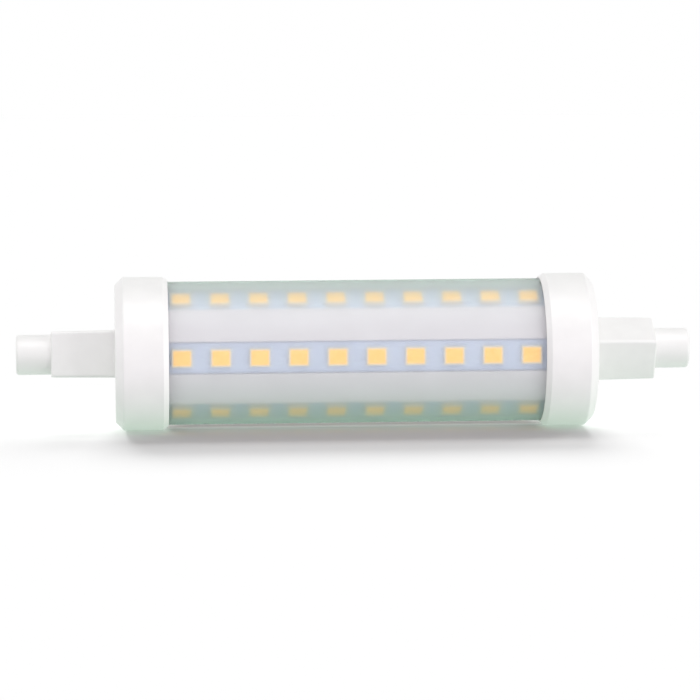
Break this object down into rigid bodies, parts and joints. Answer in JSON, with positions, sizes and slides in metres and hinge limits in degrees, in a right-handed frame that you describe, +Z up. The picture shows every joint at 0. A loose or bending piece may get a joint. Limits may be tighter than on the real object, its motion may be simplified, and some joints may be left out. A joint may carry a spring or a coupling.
{
  "type": "linear led bulb",
  "caption": "Double-ended linear LED lamp: frosted tube over LED strips, with white moulded end caps that have square stems and recessed contact noses.",
  "frame": {"origin": "middle of the lamp, on its axis", "axes": "+X along the lamp from nose to nose, -Y the side that LED strip 1 faces, +Z up"},
  "size_m": [0.118, 0.0268, 0.0268],
  "materials": {
    "frosted_tube": "frosted, translucent",
    "cap_white": "satin moulding",
    "contact_plate": "nickel plated",
    "carrier_white": "white coated",
    "strip_board": "white solder mask",
    "led_housing": "moulded",
    "led_phosphor": "clear gel with phosphor",
    "sleeve_film": "satin film",
    "driver_laminate": "solder mask",
    "resistor_body": "coated",
    "film_resin": "dipped resin",
    "can_sleeve": "printed sleeve, left plain",
    "ferrite": "ground",
    "copper_winding": "enamelled",
    "package_black": "moulded",
    "lead_insulation": "smooth"
  },
  "bodies": {
    "root": {"diffuser_tube": "frosted_tube", "left_end_cap": "cap_white", "right_end_cap": "cap_white", "left_contact": "contact_plate", "right_contact": "contact_plate", "led_carrier": "carrier_white", "led_board_1": "strip_board", "led_housings_1": "led_housing", "led_phosphors_1": "led_phosphor", "led_board_2": "strip_board", "led_housings_2": "led_housing", "led_phosphors_2": "led_phosphor", "led_board_3": "strip_board", "led_housings_3": "led_housing", "led_phosphors_3": "led_phosphor", "led_board_4": "strip_board", "led_housings_4": "led_housing", "led_phosphors_4": "led_phosphor", "led_board_5": "strip_board", "led_housings_5": "led_housing", "led_phosphors_5": "led_phosphor", "led_board_6": "strip_board", "led_housings_6": "led_housing", "led_phosphors_6": "led_phosphor", "link_board": "strip_board", "insulating_sleeve": "sleeve_film", "driver_board": "driver_laminate", "fuse_resistor": "resistor_body", "film_capacitor": "film_resin", "electrolytic_capacitor": "can_sleeve", "choke_core": "ferrite", "choke_winding": "copper_winding", "bridge_rectifier": "package_black", "driver_chip": "package_black", "left_mains_lead": "lead_insulation", "right_mains_lead": "lead_insulation", "strip_leads": "lead_insulation"}
  },
  "joints": []
}
